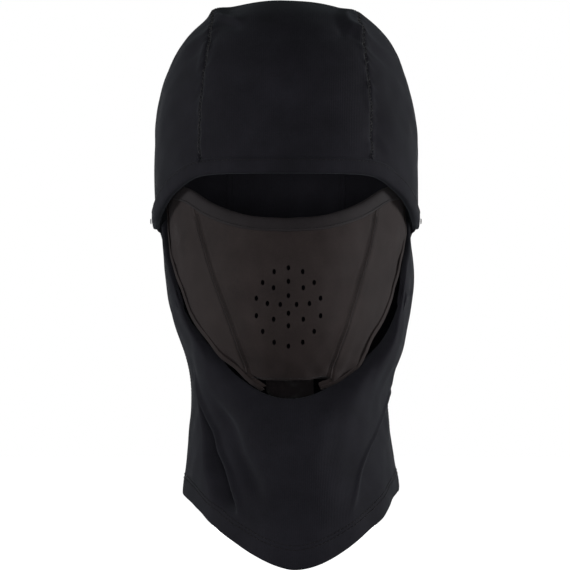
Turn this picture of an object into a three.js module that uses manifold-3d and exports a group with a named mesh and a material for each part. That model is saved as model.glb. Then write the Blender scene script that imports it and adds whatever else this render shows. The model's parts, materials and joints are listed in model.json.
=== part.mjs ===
// A hinged ski balaclava in the shape it takes on a head: a three-panel hood with a bound face opening,
// a perforated face mask that swings down under the chin, and a neck tube whose front edge is a loose cowl.
// Units are millimetres. +Z is up, the wearer faces -Y, and +X is the wearer's left.
// The shapes are worked out about the ear-to-ear axis, and the finished group is then lowered, so that the
// origin is where the top of the head meets the inside of the crown.
import * as THREE from "three";
import { mergeVertices } from "three/addons/utils/BufferGeometryUtils.js";
import Module from "manifold-3d";

const wasm = await Module();
wasm.setup();

// ---- Driving dimensions ----

const FABRIC = 2; // brushed stretch fleece of the hood and neck
const SHELL_FABRIC = 1.8; // wind-proof fabric of the mask
const GAP = 0.3; // clearance between pieces that touch
const FLATTEST = 0.06; // surface detail smaller than this is left out of the finished pieces
const REACH = 150; // cutters run this far past the ear axis

// The hood: an upright wall below a superellipsoid dome.
const DOME_BASE = 36;
const DOME_HEIGHT = 100.5;
const DOME_POWER = 2.5; // how square the dome's upright section is; 2 is an ellipse
const HOOD_HALF_WIDTH = 85.2;
const HOOD_FRONT = 103;
const HOOD_POWER = 2.25; // the same, for the level section
const HOOD_LOW = -60;
const WALL_SHARE = 0.5; // the share of the hood's rows that the upright wall takes

// Half widths and reaches of each form, as [height, value] pairs from low to high.
const HOOD_WALL = {
  side: [[-60, 82.5], [-20, 84.6], [0, 84.9], [DOME_BASE, HOOD_HALF_WIDTH]],
  front: [[-60, HOOD_FRONT], [DOME_BASE, HOOD_FRONT]],
  back: [[-60, 82], [-42, 88.5], [-20, 95.5], [0, 100], [20, 103], [DOME_BASE, 104]],
};
const NECK = {
  side: [[-240, 70], [-200, 69.6], [-173, 69.2], [-147, 64.8], [-121, 63.4], [-100, 67.5], [-83, 72.5],
    [-62, 77], [-40, 79.4], [-12, 80.2], [14, 80.2]],
  front: [[-240, 105], [-200, 102], [-160, 99], [-121, 98.5], [-95, 107], [-70, 112], [-40, 114], [14, 112]],
  back: [[-240, 96], [-215, 92], [-180, 84], [-150, 76], [-110, 71], [-80, 74], [-60, 79], [-42, 85.7],
    [-20, 92.9], [0, 97.3], [14, 99.3]],
};
const MASK = {
  side: [[-130, 34], [-120, 42], [-110, 50], [-100, 57], [-86, 64.5], [-76, 68.5], [-57, 72.8], [-40, 75],
    [-18, 76.3], [0, 76.6], [40, 76.6]],
  front: [[-130, 52], [-120, 70], [-110, 86], [-95, 103], [-75, 114], [-55, 119], [-35, 122], [-20, 118],
    [-5, 113], [5, 110], [20, 104], [40, 100]],
  back: [[-130, 40], [40, 40]],
};
const NECK_POWER = 2.1;
const MASK_POWER = 2;

// Lines seen from the side, as [y, z] points from front to back.
const FACE_EDGE = [[-120, 25], [-104, 24.6], [-80, 21.6], [-66, 15], [-45, 4.5], [-20, -5.5], [6, -11]];
const NAPE_EDGE = [[6, -11], [45, -28], [90, -41], [125, -49]];
const COWL_EDGE = [[-112, -142], [-97, -118], [-82, -95], [-66, -76], [-45, -50], [-20, -27], [-5, -15]];
const MASK_EDGE = [[-88, -125], [-85, -106], [-76, -84], [-52, -57], [-24, -27], [-8, -12]];
const NECK_SEAM = [[13, -240], [8, -120], [12, -40], [12, 10]];
const NECK_TOP = [[-REACH, -4], [-2, -4], [8, -6], [45, -21], [90, -33], [REACH, -44]];
const SEAM_TOP = [[-20, -16], [60, -40]]; // the neck's seams end here, under the bar tacks
const COWL_CORNER = [-22, -123]; // where the lifting part of the neck's front is widest
const COWL_CHEST = -163; // and where it ends
const ROLL_AREA = [[-REACH, -20], [-6, -20], [-25, -60], [-REACH, -200]]; // the rolled edge keeps inside this

// Lines seen from the front, as [x, z] points for the wearer's left half, from the middle outwards.
const MASK_TOP = [[0, -4.5], [26, -2.2], [48, 5.5], [64, 15], [76, 18], [100, 18]];
const MASK_SEAM = [[22.5, -120], [25.5, -107], [44.5, -50], [58.4, 3], [62, 24]];
const MASK_BOTTOM = -108;
const CHIN_END = -121;

// The bar tack at each ear, which the mask and the cowl turn about, in the side view.
const PIVOT = [0, -6];
const TACK = { x: 87.4, radius: 0.8, length: 7, lean: -12 };

// The hood's centre panel: its half width over the ears, and how much wider and narrower it is at the brow
// and at the back, each at the distance that follows.
const CROWN_HALF = 44;
const CROWN_FLARE = 12;
const CROWN_FLARE_AT = 88;
const CROWN_TAPER = 6;
const CROWN_TAPER_AT = 90;

const FACE_BINDING = 10.2;
const MASK_BINDING = 9;
const EDGE_BINDING = 5.5;
const BINDING_WALL = 1; // fabric on each side of a bound edge
const FACE_FOLD = 1.2; // fabric round the free edge of the face binding
const MASK_FOLD = 1;
const PANEL_START = 7.2; // the hood's panels begin this far above the face edge, inside its binding
const MASK_PANEL_START = 4; // the mask's panels, from the mask's edges
// The elastic inside each bound edge: where it lies from the free edge, and its depths in the form's wall.
const FACE_ELASTIC = { from: 1.6, to: 6.8, inner: -1.6, outer: -0.5 };
const MASK_ELASTIC = { from: 1.3, to: 4.6, inner: -1.4, outer: -0.5 };
const FACE_STITCH = { from: 8.2, to: 9.2 };
const COWL_ROLL = 6;
const COWL_ROLL_OUT = 1; // the rolled edge is this much thicker than the fabric
const SEAM_HALF = 2; // flatlock seams of the hood and neck are 4 mm wide
const MASK_SEAM_HALF = 1.5;
const SEAM_OUT = 0.5; // how far the seams stand out of the fabric
const MASK_SEAM_OUT = 0.4;
const STITCH = 0.8; // how far the rows of stitches on top of the fabric stand out
const NAPE_STITCH = { from: 2, to: 6 }; // where the nape's cover stitch lies above the hood's edge
const MASK_REAR = -8; // the mask's side tabs end this far in front of the ear axis

const HEM_FRONT = -230; // the hem's point at the throat
const HEM_BACK = -214;
const HEM_SIDE = -182;
const HEM_POWER = 1.8;
const HEM_DEPTH = 14; // fabric turned up inside the hem
const HEM_STITCH = 11.5; // height of the cover stitch above the hem
const HEM_STITCH_ROWS = 4; // from the lower row of the cover stitch to the upper

const HOLE = { halfWidth: 1, halfHeight: 1.4, sides: 8 };
// Breathing holes lie on three ovals about this point: [count, half width, half height, lift].
const HOLE_CENTRE_Z = -61;
const HOLE_RINGS = [[14, 21, 25, 0], [8, 13.4, 14.2, 2.2], [4, 5.2, 5.6, 1.6]];

// ---- Forms and shells ----

// A smooth curve of value against height through the given pairs.
function profile(pairs) {
  const cubic = new THREE.CubicInterpolant(
    new Float32Array(pairs.map((p) => p[0])),
    new Float32Array(pairs.map((p) => p[1])),
    1,
  );
  return (height) => cubic.evaluate(height)[0];
}

function profiles(form) {
  return { side: profile(form.side), front: profile(form.front), back: profile(form.back) };
}

const hoodWall = profiles(HOOD_WALL);
const neckWall = profiles(NECK);
const maskWall = profiles(MASK);

// A form's section at height z: its half width, its reach to the front and back, and its power.
function section(wall, z, power) {
  return { z, side: wall.side(z), front: wall.front(z), back: wall.back(z), power };
}

// Each ring function gives the section at share t of the way up its form.
function hoodRing(t) {
  if (t <= WALL_SHARE) {
    return section(hoodWall, THREE.MathUtils.lerp(HOOD_LOW, DOME_BASE, t / WALL_SHARE), HOOD_POWER);
  }
  const angle = ((t - WALL_SHARE) / (1 - WALL_SHARE)) * (Math.PI / 2);
  const shrink = Math.max(0, Math.cos(angle)) ** (2 / DOME_POWER);
  return {
    z: DOME_BASE + DOME_HEIGHT * Math.sin(angle) ** (2 / DOME_POWER),
    side: HOOD_HALF_WIDTH * shrink,
    front: HOOD_FRONT * shrink,
    back: hoodWall.back(DOME_BASE) * shrink,
    power: HOOD_POWER,
  };
}

function wallRing(wall, low, high, power) {
  return (t) => section(wall, THREE.MathUtils.lerp(low, high, t), power);
}

const HOOD_FORM = { ring: hoodRing, rows: 16, columns: 40, pole: true };
const NECK_FORM = { ring: wallRing(neckWall, -240, 12, NECK_POWER), rows: 18, columns: 36 };
const MASK_FORM = { ring: wallRing(maskWall, -128, 32, MASK_POWER), rows: 14, columns: 40 };

// The point of a form at a bearing round it (0 is the face, a quarter turn is the wearer's left ear).
function formPoint(form, bearing, t) {
  const ring = form.ring(t);
  const sine = Math.sin(bearing);
  const cosine = Math.cos(bearing);
  const reach = cosine > 0 ? ring.front : ring.back;
  return new THREE.Vector3(
    Math.sign(sine) * ring.side * Math.abs(sine) ** (2 / ring.power),
    -Math.sign(cosine) * reach * Math.abs(cosine) ** (2 / ring.power),
    ring.z,
  );
}

// The same point moved out along the surface's normal.
function offsetPoint(form, bearing, t, out) {
  const step = 1e-3;
  const here = formPoint(form, bearing, t);
  if (form.pole && t >= 1) return here.add(new THREE.Vector3(0, 0, out));
  const around = formPoint(form, bearing + step, t).sub(formPoint(form, bearing - step, t));
  const higher = formPoint(form, bearing, Math.min(1, t + step));
  const up = higher.sub(formPoint(form, bearing, Math.max(0, t - step)));
  return here.addScaledVector(around.cross(up).normalize(), out);
}

function solid(positions, faces) {
  return new wasm.Manifold(
    new wasm.Mesh({
      numProp: 3,
      vertProperties: new Float32Array(positions),
      triVerts: new Uint32Array(faces),
    }),
  );
}

// A closed wall that follows a form between two offsets from its surface.
function shell(form, inner, outer) {
  const { rows, columns, pole } = form;
  const lastRow = pole ? rows - 1 : rows;
  const positions = [];
  for (const out of [outer, inner])
    for (let r = 0; r <= lastRow; r++)
      for (let c = 0; c < columns; c++)
        positions.push(...offsetPoint(form, ((c + 0.5) / columns) * 2 * Math.PI, r / rows, out));

  const faces = [];
  const layer = (lastRow + 1) * columns;
  const at = (side, r, c) => side * layer + r * columns + (c % columns);
  const quad = (p, q, r, t) => faces.push(p, q, r, p, r, t);
  for (let c = 0; c < columns; c++) {
    for (let r = 0; r < lastRow; r++) {
      quad(at(0, r, c), at(0, r, c + 1), at(0, r + 1, c + 1), at(0, r + 1, c));
      quad(at(1, r, c), at(1, r + 1, c), at(1, r + 1, c + 1), at(1, r, c + 1));
    }
    quad(at(0, 0, c), at(1, 0, c), at(1, 0, c + 1), at(0, 0, c + 1));
    if (pole) {
      faces.push(at(0, lastRow, c), at(0, lastRow, c + 1), 2 * layer);
      faces.push(at(1, lastRow, c), 2 * layer + 1, at(1, lastRow, c + 1));
    } else {
      quad(at(0, rows, c), at(0, rows, c + 1), at(1, rows, c + 1), at(1, rows, c));
    }
  }
  if (pole) positions.push(...offsetPoint(form, 0, 1, outer), ...offsetPoint(form, 0, 1, inner));
  return solid(positions, faces);
}

// ---- Cutters ----

function solidOf(geometry) {
  geometry.deleteAttribute("normal");
  geometry.deleteAttribute("uv");
  const merged = mergeVertices(geometry, 1e-4);
  return solid(merged.attributes.position.array, merged.index.array);
}

const X = new THREE.Vector3(1, 0, 0);
const Y = new THREE.Vector3(0, 1, 0);
const Z = new THREE.Vector3(0, 0, 1);
const SIDE_VIEW = new THREE.Matrix4().makeBasis(Y, Z, X);
const FRONT_VIEW = new THREE.Matrix4().makeBasis(X, Z, Y.clone().negate());

function prism(outline, from, to, view) {
  const shape = new THREE.Shape(outline.map(([a, b]) => new THREE.Vector2(a, b)));
  const geometry = new THREE.ExtrudeGeometry(shape, { depth: to - from, bevelEnabled: false });
  geometry.translate(0, 0, from);
  if (view) geometry.applyMatrix4(view);
  return solidOf(geometry);
}

// Outlines seen from the side or top run right through the head; those from the front take its front half.
const fromSide = (outline) => prism(outline, -REACH, REACH, SIDE_VIEW);
const fromFront = (outline) => prism(outline, 0, REACH, FRONT_VIEW);
const fromTop = (outline) => prism(outline, -2 * REACH, 2 * REACH);

// The smooth line through some points, moved sideways (to the left of its direction), as points.
function line(points, aside = 0, count = 12) {
  const curve = new THREE.SplineCurve(points.map(([a, b]) => new THREE.Vector2(a, b)));
  return Array.from({ length: count + 1 }, (_, i) => {
    const p = curve.getPoint(i / count);
    const along = curve.getTangent(i / count);
    return [p.x - along.y * aside, p.y + along.x * aside];
  });
}

// The outline between two parallel lines.
function ribbon(points, low, high, count) {
  return [...line(points, low, count), ...line(points, high, count).reverse()];
}

// The outline of everything above, or below, a line that runs towards the right of its view.
const above = (points) => [...points, [2 * REACH, 2 * REACH], [-2 * REACH, 2 * REACH]];
const below = (points) => [...points, [2 * REACH, -2 * REACH], [-2 * REACH, -2 * REACH]];

// A line drawn for the left half, continued over its mirror image.
const mirrored = (points) => [...points.slice(1).map(([a, b]) => [-a, b]).reverse(), ...points];

// ---- Nodes ----

const balaclava = new THREE.Group();

const fleece = new THREE.MeshStandardMaterial({ color: 0x15161a, roughness: 0.92, metalness: 0 });
const shellFabric = new THREE.MeshStandardMaterial({ color: 0x2a2624, roughness: 0.62, metalness: 0 });
const thread = new THREE.MeshStandardMaterial({ color: 0x101114, roughness: 0.8, metalness: 0 });
const elasticWeb = new THREE.MeshStandardMaterial({ color: 0x1d1d20, roughness: 0.85, metalness: 0 });

function node(name, solid, material) {
  const mesh = solid.simplify(FLATTEST).getMesh();
  const geometry = new THREE.BufferGeometry();
  geometry.setAttribute("position", new THREE.BufferAttribute(new Float32Array(mesh.vertProperties), 3));
  geometry.setIndex(new THREE.BufferAttribute(new Uint32Array(mesh.triVerts), 1));
  geometry.computeVertexNormals();
  const made = new THREE.Mesh(geometry, material);
  made.name = name;
  balaclava.add(made);
}

// Cutters for the halves on the wearer's left and right.
const leftHalf = fromTop([[0, -REACH], [REACH, -REACH], [REACH, REACH], [0, REACH]]);
const rightHalf = fromTop([[-REACH, -REACH], [0, -REACH], [0, REACH], [-REACH, REACH]]);
const HALVES = [["left", leftHalf], ["right", rightHalf]];

// ---- Hood ----

// Half the width of the hood's centre panel at a place y along it, to the middle of its seams.
function crownSeam(y) {
  return y < 0
    ? CROWN_HALF + CROWN_FLARE * (y / CROWN_FLARE_AT) ** 2
    : CROWN_HALF - CROWN_TAPER * (y / CROWN_TAPER_AT) ** 2;
}

// The outline, seen from above, of the strip between two offsets from the left crown seam. Without an
// inner offset it starts at the middle of the head, and without an outer one it runs past the side.
function crownRegion(inner, outer) {
  const steps = Array.from({ length: 13 }, (_, i) => THREE.MathUtils.lerp(-110, 110, i / 12));
  const near = steps.map((y) => [inner === null ? 0 : crownSeam(y) + inner, y]);
  const far = steps.map((y) => [outer === null ? REACH : crownSeam(y) + outer, y]).reverse();
  return [...near, ...far];
}

function mirrorX(outline) {
  return outline.map(([x, y]) => [-x, y]).reverse();
}

// What lies above the face edge and the nape edge, seen from the side.
function coverAbove(overFace, overNape) {
  return fromSide(above([...line(FACE_EDGE, overFace), ...line(NAPE_EDGE, overNape, 8)]));
}

function buildHood() {
  const hood = shell(HOOD_FORM, -FABRIC, 0).intersect(coverAbove(PANEL_START, 0));
  const centre = crownRegion(null, -SEAM_HALF - GAP);
  const centreHalves = fromTop(centre).add(fromTop(mirrorX(centre)));
  node("crown_centre_panel", hood.intersect(centreHalves), fleece);

  const seamCover = coverAbove(FACE_BINDING + GAP, NAPE_STITCH.to + 1);
  const seams = shell(HOOD_FORM, -FABRIC, SEAM_OUT).intersect(seamCover);
  for (const [side, mirror] of [["left", (o) => o], ["right", mirrorX]]) {
    const beyond = mirror(crownRegion(SEAM_HALF + GAP, null));
    node(`crown_side_panel_${side}`, hood.intersect(fromTop(beyond)), fleece);
    const strip = mirror(crownRegion(-SEAM_HALF, SEAM_HALF));
    node(`crown_seam_${side}`, seams.intersect(fromTop(strip)), thread);
  }

  // The nape seam's cover stitch lies on the hood's lower edge, over the neck tube's tucked top.
  const stitchArea = fromSide(ribbon(NAPE_EDGE, NAPE_STITCH.from, NAPE_STITCH.to, 8));
  node("nape_seam", shell(HOOD_FORM, GAP, STITCH).intersect(stitchArea), thread);
}

// A folded binding: two walls joined by a fold at the free edge, open on the other side to take the fabric.
function binding(form, fabric, region, channelRegion) {
  const outside = shell(form, -fabric - GAP - BINDING_WALL, GAP + BINDING_WALL).intersect(region);
  return outside.subtract(shell(form, -fabric - GAP, GAP).intersect(channelRegion));
}

function buildFaceBinding() {
  const region = fromSide(ribbon(FACE_EDGE, 0, FACE_BINDING));
  const channel = fromSide(ribbon(FACE_EDGE, FACE_FOLD, FACE_BINDING + 2));
  node("face_opening_binding", binding(HOOD_FORM, FABRIC, region, channel), fleece);
  const elasticArea = fromSide(ribbon(FACE_EDGE, FACE_ELASTIC.from, FACE_ELASTIC.to));
  const elastic = shell(HOOD_FORM, FACE_ELASTIC.inner, FACE_ELASTIC.outer).intersect(elasticArea);
  node("face_opening_elastic", elastic, elasticWeb);
  const stitchArea = fromSide(ribbon(FACE_EDGE, FACE_STITCH.from, FACE_STITCH.to));
  const bindingTop = BINDING_WALL + 2 * GAP;
  const stitch = shell(HOOD_FORM, bindingTop, bindingTop + SEAM_OUT).intersect(stitchArea);
  node("face_opening_topstitch", stitch, thread);
}

// Dense bar tacks at the ears hold the binding, mask tabs and cowl together: the mask and cowl turn on them.
function buildBarTacks() {
  for (const [side, sign] of [["left", 1], ["right", -1]]) {
    const bar = new THREE.CapsuleGeometry(TACK.radius, TACK.length, 3, 8);
    bar.rotateX(THREE.MathUtils.degToRad(TACK.lean));
    bar.translate(sign * TACK.x, ...PIVOT);
    node(`hinge_bartack_${side}`, solidOf(bar), thread);
  }
}

// ---- Neck ----

// The hem's height at a distance x from the middle, where point is its height at the middle.
function hemHeight(x, point) {
  return point + (HEM_SIDE - point) * (Math.abs(x) / neckWall.side(HEM_SIDE)) ** HEM_POWER;
}

function hemLine(point, lift) {
  const steps = Array.from({ length: 19 }, (_, i) => THREE.MathUtils.lerp(-84, 84, i / 18));
  return steps.map((x) => [x, hemHeight(x, point) + lift]);
}

// Everything above the hem, raised by lift, with the front and back halves cut to their own lines.
function aboveHem(lift) {
  const front = prism(above(hemLine(HEM_FRONT, lift)), -0.01, REACH, FRONT_VIEW);
  const back = prism(above(hemLine(HEM_BACK, lift)), -REACH, 0.01, FRONT_VIEW);
  return front.add(back);
}

// The part of the front that lifts with the cowl, seen from the side: a sector about the pivot, cut off low.
function cowlOutline(shrink) {
  return [
    [PIVOT[0] - shrink, PIVOT[1]],
    [-REACH, PIVOT[1]],
    [-REACH, COWL_CHEST + shrink],
    [COWL_CORNER[0] - shrink, COWL_CORNER[1] + shrink],
  ];
}

function buildNeck() {
  const fabric = shell(NECK_FORM, -FABRIC, 0);
  const hem = shell(NECK_FORM, -2 * FABRIC, 0).subtract(aboveHem(HEM_DEPTH));
  const tube = fabric.add(hem).intersect(aboveHem(0)).intersect(fromSide(below(NECK_TOP)));
  const behindSeam = fromSide([...line(NECK_SEAM, -SEAM_HALF - GAP), [REACH, 60], [REACH, -2 * REACH]]);
  node("neck_back_panel", tube.intersect(behindSeam), fleece);

  const beforeSeam = fromSide([...line(NECK_SEAM, SEAM_HALF + GAP), [-REACH, 60], [-REACH, -2 * REACH]]);
  const overCowl = fromSide(above([...line(COWL_EDGE), [-2, 0], [40, 20]]));
  const front = tube.intersect(beforeSeam).subtract(overCowl);
  node("neck_front_panel", front.subtract(fromSide(cowlOutline(-GAP / 2))), fleece);
  const cowl = front.intersect(fromSide(cowlOutline(GAP / 2)));
  node("cowl_panel", cowl.intersect(fromSide(below(line(COWL_EDGE, -COWL_ROLL - GAP)))), fleece);

  const rollArea = fromSide(ribbon(COWL_EDGE, -COWL_ROLL, 0)).intersect(fromSide(ROLL_AREA));
  node("cowl_rolled_edge", shell(NECK_FORM, -FABRIC, COWL_ROLL_OUT).intersect(rollArea), fleece);

  const underNape = fromSide(below(SEAM_TOP));
  const seamArea = fromSide(ribbon(NECK_SEAM, -SEAM_HALF, SEAM_HALF)).intersect(underNape);
  const seams = shell(NECK_FORM, -FABRIC, SEAM_OUT).intersect(aboveHem(0)).intersect(seamArea);
  for (const [side, half] of HALVES) node(`neck_seam_${side}`, seams.intersect(half), thread);

  const stitchArea = aboveHem(HEM_STITCH).subtract(aboveHem(HEM_STITCH + HEM_STITCH_ROWS));
  node("hem_coverstitch", shell(NECK_FORM, STITCH, STITCH + 0.6).intersect(stitchArea), thread);
}

// ---- Mask ----

// The outline, seen from the front, of the strip between two offsets from the left mask seam. Without an
// inner offset it starts at the middle, and without an outer one it runs past the side.
function maskStrip(inner, outer) {
  const near = inner === null ? [[0, -120], [0, 24]] : line(MASK_SEAM, -inner);
  const far = outer === null ? [[REACH, 24], [REACH, -120]] : line(MASK_SEAM, -outer).reverse();
  return [...near, ...far];
}

function maskHoles() {
  const holes = [];
  for (const [count, halfWidth, halfHeight, lift] of HOLE_RINGS)
    for (let i = 0; i < count; i++) {
      const turn = (i / count) * 2 * Math.PI;
      const x = halfWidth * Math.sin(turn);
      const z = HOLE_CENTRE_Z + lift + halfHeight * Math.cos(turn);
      const outline = Array.from({ length: HOLE.sides }, (_, k) => {
        const a = (k / HOLE.sides) * 2 * Math.PI;
        return [x + HOLE.halfWidth * Math.cos(a), z + HOLE.halfHeight * Math.sin(a)];
      });
      holes.push(fromFront(outline));
    }
  return holes.reduce((all, one) => all.add(one));
}

const maskTop = mirrored(MASK_TOP);
const underMaskTop = (drop) => fromFront(below(line(maskTop, -drop, 16)));
const insideMaskEdge = (inset) =>
  fromSide([...line(MASK_EDGE, inset), [MASK_REAR, 30], [-REACH, 30], [-REACH, -125]]);
const aheadOfTacks = fromSide([[-REACH, -REACH], [MASK_REAR, -REACH], [MASK_REAR, 60], [-REACH, 60]]);
const overMaskBottom = fromFront(
  above([[-REACH, MASK_BOTTOM + MASK_SEAM_HALF + GAP], [REACH, MASK_BOTTOM + MASK_SEAM_HALF + GAP]]),
);

// The mask's fabric between its bound edges and its chin seam.
function maskField(outer, drop, inset) {
  return shell(MASK_FORM, -SHELL_FABRIC, outer)
    .intersect(underMaskTop(drop))
    .intersect(insideMaskEdge(inset))
    .intersect(overMaskBottom);
}

function buildMaskPanels() {
  const field = maskField(0, MASK_PANEL_START + 1, MASK_PANEL_START).intersect(aheadOfTacks);
  const centre = maskStrip(null, -MASK_SEAM_HALF - GAP);
  const middle = fromFront(centre).add(fromFront(mirrorX(centre)));
  node("mask_centre_panel", field.intersect(middle).subtract(maskHoles()), shellFabric);

  const seams = maskField(MASK_SEAM_OUT, MASK_BINDING + GAP, EDGE_BINDING + GAP);
  for (const [side, mirror] of [["left", (o) => o], ["right", mirrorX]]) {
    const beyond = mirror(maskStrip(MASK_SEAM_HALF + GAP, null));
    node(`mask_side_panel_${side}`, field.intersect(fromFront(beyond)), shellFabric);
    const strip = mirror(maskStrip(-MASK_SEAM_HALF, MASK_SEAM_HALF));
    node(`mask_seam_${side}`, seams.intersect(fromFront(strip)), thread);
  }
}

function buildMaskBindings() {
  const topRegion = fromFront(ribbon(maskTop, -MASK_BINDING, 0, 16)).intersect(aheadOfTacks);
  const topChannel = fromFront(ribbon(maskTop, -MASK_BINDING - 2, -MASK_FOLD, 16));
  node("mask_top_binding", binding(MASK_FORM, SHELL_FABRIC, topRegion, topChannel), shellFabric);
  const elastic = shell(MASK_FORM, MASK_ELASTIC.inner, MASK_ELASTIC.outer)
    .intersect(fromFront(ribbon(maskTop, -MASK_ELASTIC.to, -MASK_ELASTIC.from, 16)))
    .intersect(aheadOfTacks);
  node("mask_top_elastic", elastic, elasticWeb);

  const edgeRegion = fromSide(ribbon(MASK_EDGE, 0, EDGE_BINDING))
    .intersect(underMaskTop(MASK_BINDING + GAP))
    .intersect(overMaskBottom)
    .intersect(aheadOfTacks);
  const edgeChannel = fromSide(ribbon(MASK_EDGE, MASK_FOLD, EDGE_BINDING + 2));
  const edges = binding(MASK_FORM, SHELL_FABRIC, edgeRegion, edgeChannel);
  for (const [side, half] of HALVES) node(`mask_edge_binding_${side}`, edges.intersect(half), shellFabric);
}

function buildChin() {
  const panelTop = MASK_BOTTOM - MASK_SEAM_HALF - GAP;
  const panelRegion = fromFront([[-27, panelTop], [27, panelTop], [18, CHIN_END], [-18, CHIN_END]]);
  node("mask_chin_panel", shell(MASK_FORM, -SHELL_FABRIC, 0).intersect(panelRegion), shellFabric);
  const low = MASK_BOTTOM - MASK_SEAM_HALF;
  const high = MASK_BOTTOM + MASK_SEAM_HALF;
  const seamRegion = fromFront([[-26, low], [26, low], [26, high], [-26, high]]);
  node("mask_chin_seam", shell(MASK_FORM, -SHELL_FABRIC, MASK_SEAM_OUT).intersect(seamRegion), thread);
}

buildHood();
buildFaceBinding();
buildBarTacks();
buildNeck();
buildMaskPanels();
buildMaskBindings();
buildChin();

// The seat, where the head bears on the inside of the crown, becomes the origin.
balaclava.position.z = -(DOME_BASE + DOME_HEIGHT - FABRIC);

export default balaclava;
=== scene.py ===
"""Looks of the hinged ski balaclava: fleece hood and neck tube, shell mask, seams and stitches.

Shapes are worked out in millimetres about the ear-to-ear axis, from the same driving dimensions as the CAD,
and become metres in the row frame when a mesh is made.
"""
import json
import math

import bmesh
import bpy
import numpy as np
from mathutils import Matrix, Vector


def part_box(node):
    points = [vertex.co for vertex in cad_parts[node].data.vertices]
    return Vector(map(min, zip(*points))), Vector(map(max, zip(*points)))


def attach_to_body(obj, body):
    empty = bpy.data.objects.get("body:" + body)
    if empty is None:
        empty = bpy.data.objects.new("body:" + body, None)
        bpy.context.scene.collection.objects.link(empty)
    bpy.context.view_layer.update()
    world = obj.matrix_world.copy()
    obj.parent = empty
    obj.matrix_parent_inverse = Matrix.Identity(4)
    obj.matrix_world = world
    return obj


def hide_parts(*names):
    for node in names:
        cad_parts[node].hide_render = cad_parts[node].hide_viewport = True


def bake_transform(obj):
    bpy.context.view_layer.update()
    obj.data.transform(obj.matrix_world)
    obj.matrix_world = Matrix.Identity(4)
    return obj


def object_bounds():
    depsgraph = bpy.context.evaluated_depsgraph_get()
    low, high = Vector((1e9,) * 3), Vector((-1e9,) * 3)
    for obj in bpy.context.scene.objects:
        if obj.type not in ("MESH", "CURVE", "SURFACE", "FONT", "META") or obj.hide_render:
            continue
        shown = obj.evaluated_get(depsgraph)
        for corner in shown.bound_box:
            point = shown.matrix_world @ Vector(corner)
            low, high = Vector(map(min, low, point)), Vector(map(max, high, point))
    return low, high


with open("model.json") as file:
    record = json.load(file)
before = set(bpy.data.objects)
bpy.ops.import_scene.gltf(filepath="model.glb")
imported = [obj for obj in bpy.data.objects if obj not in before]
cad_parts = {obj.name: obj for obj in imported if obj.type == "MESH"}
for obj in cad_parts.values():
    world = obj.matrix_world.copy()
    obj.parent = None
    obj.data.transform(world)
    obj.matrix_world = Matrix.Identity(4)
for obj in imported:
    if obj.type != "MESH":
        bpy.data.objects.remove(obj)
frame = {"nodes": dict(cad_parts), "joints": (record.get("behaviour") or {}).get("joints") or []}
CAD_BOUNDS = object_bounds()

MM = 0.001
SIDES = (("left", 1), ("right", -1))  # the wearer's, and the sign of x there
TACK_DROP = 6  # the bar tacks sit this far below the ear axis
MASK_HINGE = next(joint for joint in frame["joints"] if joint["name"] == "mask_hinge")
EAR_HEIGHT = MASK_HINGE["pos_m"][2] + TACK_DROP * MM

# ---- driving dimensions

FABRIC = 2.0  # brushed fleece of the hood and neck
SHELL_FABRIC = 1.8  # the mask's shell
DOME_BASE = 36.0
DOME_HEIGHT = 100.5
DOME_POWER = 2.5
HOOD_FRONT = 103.0
# How square each section is: 2 is an ellipse.
HOOD_POWER = 2.25
NECK_POWER = 2.1
MASK_POWER = 2.0
MASK_BACK = 40.0

# Widths of the folded bindings, and the wall of the widest.
FACE_BAND = 10.2
MASK_BAND = 9.0
EDGE_BAND = 5.5
BAND_WALL = 1.0
PANEL_TUCK = 7.2  # the crown panels start this far up inside the brow band


def smooth(pairs):
    """A smooth curve through (place, value) pairs, level beyond its ends."""
    x, y = np.array(pairs, float).T
    slope = np.gradient(y, x)

    def at(place):
        p = np.clip(np.asarray(place, float), x[0], x[-1])
        i = np.clip(np.searchsorted(x, p) - 1, 0, len(x) - 2)
        h = x[i + 1] - x[i]
        t = (p - x[i]) / h
        a = (1 + 2 * t) * (1 - t) ** 2 * y[i] + t * t * (3 - 2 * t) * y[i + 1]
        return a + h * (t * (1 - t) ** 2 * slope[i] - t * t * (1 - t) * slope[i + 1])

    return at


def step(low, high, value):
    """0 below low, 1 above high, and a smooth rise between."""
    t = np.clip((np.asarray(value, float) - low) / (high - low), 0, 1)
    return t * t * (3 - 2 * t)


def hump(centre, width, value):
    """1 at centre, falling smoothly to about 0 at one width away."""
    return np.exp(-((np.asarray(value, float) - centre) / (0.45 * width)) ** 2)


# Half widths and reaches by height.
HOOD_SIDE = smooth([(-60, 82.5), (-20, 84.6), (0, 84.9), (DOME_BASE, 85.2)])
HOOD_BACK = smooth([(-60, 82), (-42, 88.5), (-20, 95.5), (0, 100), (20, 103), (DOME_BASE, 104)])
NECK_SIDE = smooth([(-240, 70), (-200, 69.6), (-173, 69.2), (-147, 64.8), (-121, 63.4), (-100, 67.2),
                    (-83, 72.3), (-62, 77), (-40, 79.4), (-12, 80.2), (14, 80.2)])
NECK_FRONT = smooth([(-240, 105), (-200, 102), (-160, 99), (-121, 98.5), (-95, 107), (-70, 112),
                     (-40, 114), (14, 112)])
NECK_BACK = smooth([(-240, 96), (-215, 92), (-180, 84), (-150, 76), (-110, 71), (-80, 74), (-60, 79),
                    (-42, 85.7), (-20, 92.9), (0, 97.3), (14, 99.3)])
MASK_SIDE = smooth([(-130, 34), (-120, 42), (-110, 50), (-100, 57), (-86, 64.5), (-76, 68.5), (-57, 72.8),
                    (-40, 75), (-18, 76.3), (0, 76.6), (40, 76.6)])
MASK_FRONT = smooth([(-130, 52), (-120, 70), (-110, 86), (-95, 103), (-75, 114), (-55, 119), (-35, 122),
                     (-20, 118), (-5, 113), (5, 110), (20, 104), (40, 100)])

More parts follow.
